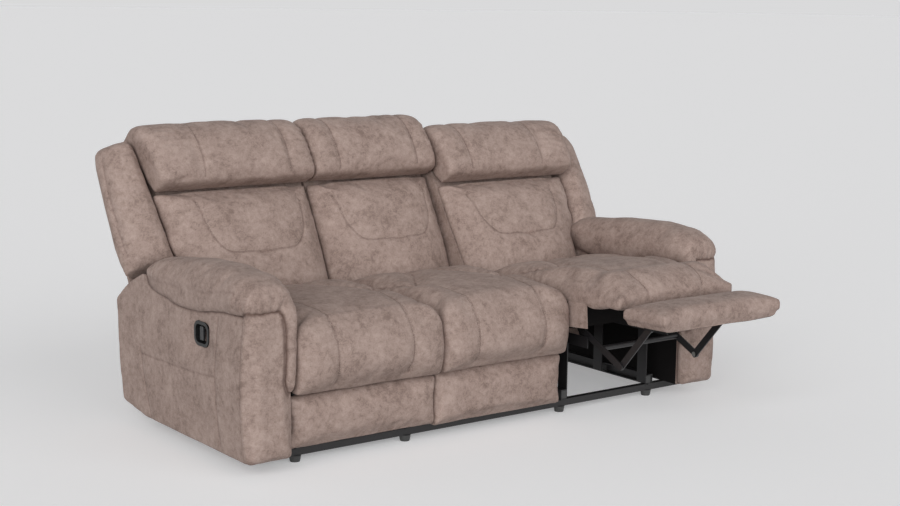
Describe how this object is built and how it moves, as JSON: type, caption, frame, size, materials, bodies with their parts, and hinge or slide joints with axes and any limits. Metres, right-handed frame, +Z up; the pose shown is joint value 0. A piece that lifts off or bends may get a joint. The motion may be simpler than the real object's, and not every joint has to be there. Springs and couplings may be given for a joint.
{
  "type": "three-seat reclining sofa",
  "caption": "Three-seat manual reclining sofa in suede-like cloth with padded arms, headrests and wings, a fixed middle seat and fold-out footrests on steel links.",
  "frame": {"origin": "on the floor, under the middle of the whole outline with the right footrest out", "axes": "+X across the sofa towards the seat with its footrest out, +Y to the back, +Z up"},
  "size_m": [2.1294, 1.6046, 1.0738],
  "materials": {
    "suede": "mottled suede-like upholstery cloth",
    "suede_flat": "suede-like cloth on a flat panel",
    "lining_cloth": "black woven lining",
    "black_steel": "semi-gloss black",
    "nylon": "moulded nylon",
    "foot_plastic": "moulded black",
    "handle_plastic": "black",
    "timber": "sawn frame timber"
  },
  "bodies": {
    "base": {"cross_rails": "black_steel", "feet": "foot_plastic", "base_tracks": "black_steel", "middle_seat_frame": "lining_cloth", "middle_seat_cushion": "suede", "middle_front_panel": "suede", "middle_back_frame": "timber", "middle_back_cushion": "suede", "middle_headrest": "suede", "middle_back_cover": "suede_flat", "left_arm_body": "suede", "left_arm_front": "suede", "left_arm_gusset": "suede", "left_arm_pad": "suede", "left_arm_lining": "lining_cloth", "left_handle_bezel": "handle_plastic", "right_arm_body": "suede", "right_arm_front": "suede", "right_arm_gusset": "suede", "right_arm_pad": "suede", "right_arm_lining": "lining_cloth", "right_handle_bezel": "handle_plastic"},
    "left_handle": {"left_handle_lever": "handle_plastic"},
    "left_carriage": {"left_side_plates": "black_steel", "left_glide_shoes": "nylon"},
    "left_pan": {"left_seat_frame": "lining_cloth", "left_seat_cushion": "suede"},
    "left_chaise": {"left_chaise_pad": "suede"},
    "left_ottoman": {"left_ottoman_pad": "suede", "left_ottoman_board": "lining_cloth", "left_ottoman_brackets": "black_steel"},
    "left_drive": {"left_drive_links": "black_steel", "left_drive_tube": "black_steel"},
    "left_lift": {"left_lift_links": "black_steel"},
    "left_back": {"left_back_frame": "timber", "left_back_cushion": "suede", "left_headrest": "suede", "left_wing": "suede", "left_back_cover": "suede_flat", "left_back_ears": "black_steel"},
    "left_tilt": {"left_tilt_cranks": "black_steel"},
    "right_handle": {"right_handle_lever": "handle_plastic"},
    "right_carriage": {"right_side_plates": "black_steel", "right_glide_shoes": "nylon"},
    "right_pan": {"right_seat_frame": "lining_cloth", "right_seat_cushion": "suede"},
    "right_chaise": {"right_chaise_pad": "suede"},
    "right_ottoman": {"right_ottoman_pad": "suede", "right_ottoman_board": "lining_cloth", "right_ottoman_brackets": "black_steel"},
    "right_drive": {"right_drive_links": "black_steel", "right_drive_tube": "black_steel"},
    "right_lift": {"right_lift_links": "black_steel"},
    "right_back": {"right_back_frame": "timber", "right_back_cushion": "suede", "right_headrest": "suede", "right_wing": "suede", "right_back_cover": "suede_flat", "right_back_ears": "black_steel"},
    "right_tilt": {"right_tilt_cranks": "black_steel"}
  },
  "joints": [
    {"name": "left_seat_slide", "type": "slide", "parent": "base", "child": "left_carriage", "axis": [0, -1, 0], "range_m": [0, 0.13]},
    {"name": "left_seat_tilt", "type": "hinge", "parent": "left_carriage", "child": "left_pan", "pos_m": [-0.5795, 0.27942, 0.37], "axis": [-1, 0, 0], "range_deg": [0, 5.02]},
    {"name": "left_chaise_hinge", "type": "hinge", "parent": "left_pan", "child": "left_chaise", "pos_m": [-0.5795, -0.32057, 0.42], "axis": [-1, 0, 0], "range_deg": [0, 81.02]},
    {"name": "left_ottoman_tilt", "type": "hinge", "parent": "left_chaise", "child": "left_ottoman", "pos_m": [-0.5795, -0.32057, 0.247], "axis": [-1, 0, 0], "range_deg": [0, 9.02]},
    {"name": "left_drive_swing", "type": "hinge", "parent": "left_pan", "child": "left_drive", "pos_m": [-0.5795, -0.17558, 0.284], "axis": [-1, 0, 0], "range_deg": [0, 82.6]},
    {"name": "left_back_tilt", "type": "hinge", "parent": "left_carriage", "child": "left_tilt", "pos_m": [-0.5795, 0.27942, 0.37], "axis": [-1, 0, 0], "range_deg": [0, 6.02]},
    {"name": "left_lift_swing", "type": "hinge", "parent": "left_drive", "child": "left_lift", "pos_m": [-0.5795, -0.08432, 0.07534], "axis": [1, 0, 0], "range_deg": [0, 79.66]},
    {"name": "left_recline", "type": "hinge", "parent": "left_tilt", "child": "left_back", "pos_m": [-0.5795, 0.27942, 0.37], "axis": [-1, 0, 0], "range_deg": [0, 20]},
    {"name": "left_handle_pull", "type": "hinge", "parent": "base", "child": "left_handle", "pos_m": [-1.025, 0.00143, 0.427], "axis": [0, 0, -1], "range_deg": [0, 30], "stiffness_Nm_per_rad": 1.2},
    {"name": "right_seat_slide", "type": "slide", "parent": "base", "child": "right_carriage", "axis": [0, -1, 0], "range_m": [-0.13, 0]},
    {"name": "right_seat_tilt", "type": "hinge", "parent": "right_carriage", "child": "right_pan", "pos_m": [0.5795, 0.14943, 0.37], "axis": [-1, 0, 0], "range_deg": [-5.02, 0]},
    {"name": "right_chaise_hinge", "type": "hinge", "parent": "right_pan", "child": "right_chaise", "pos_m": [0.5795, -0.44393, 0.4721], "axis": [-1, 0, 0], "range_deg": [-81.02, 0]},
    {"name": "right_ottoman_tilt", "type": "hinge", "parent": "right_chaise", "child": "right_ottoman", "pos_m": [0.5795, -0.61651, 0.46004], "axis": [-1, 0, 0], "range_deg": [-9.02, 0]},
    {"name": "right_drive_swing", "type": "hinge", "parent": "right_pan", "child": "right_drive", "pos_m": [0.5795, -0.31134, 0.32398], "axis": [-1, 0, 0], "range_deg": [-82.6, 0]},
    {"name": "right_back_tilt", "type": "hinge", "parent": "right_carriage", "child": "right_tilt", "pos_m": [0.5795, 0.14943, 0.37], "axis": [-1, 0, 0], "range_deg": [-6.02, 0]},
    {"name": "right_lift_swing", "type": "hinge", "parent": "right_drive", "child": "right_lift", "pos_m": [0.5795, -0.51595, 0.224], "axis": [1, 0, 0], "range_deg": [-79.66, 0]},
    {"name": "right_recline", "type": "hinge", "parent": "right_tilt", "child": "right_back", "pos_m": [0.5795, 0.14943, 0.37], "axis": [-1, 0, 0], "range_deg": [0, 20]},
    {"name": "right_handle_pull", "type": "hinge", "parent": "base", "child": "right_handle", "pos_m": [1.025, 0.00143, 0.427], "axis": [0, 0, 1], "range_deg": [0, 30], "stiffness_Nm_per_rad": 1.2}
  ],
  "couplings": [
    {"joint": "left_seat_tilt", "follows": "left_seat_slide", "rad_per_m": 0.67128},
    {"joint": "left_chaise_hinge", "follows": "left_seat_slide", "rad_per_m": 10.875},
    {"joint": "left_ottoman_tilt", "follows": "left_seat_slide", "rad_per_m": 1.2083},
    {"joint": "left_drive_swing", "follows": "left_seat_slide", "rad_per_m": 11.087},
    {"joint": "left_back_tilt", "follows": "left_seat_slide", "rad_per_m": 0.80554},
    {"joint": "left_lift_swing", "follows": "left_seat_slide", "rad_per_m": 10.692},
    {"joint": "right_seat_tilt", "follows": "right_seat_slide", "rad_per_m": 0.67128},
    {"joint": "right_chaise_hinge", "follows": "right_seat_slide", "rad_per_m": 10.875},
    {"joint": "right_ottoman_tilt", "follows": "right_seat_slide", "rad_per_m": 1.2083},
    {"joint": "right_drive_swing", "follows": "right_seat_slide", "rad_per_m": 11.087},
    {"joint": "right_back_tilt", "follows": "right_seat_slide", "rad_per_m": 0.80554},
    {"joint": "right_lift_swing", "follows": "right_seat_slide", "rad_per_m": 10.692}
  ]
}
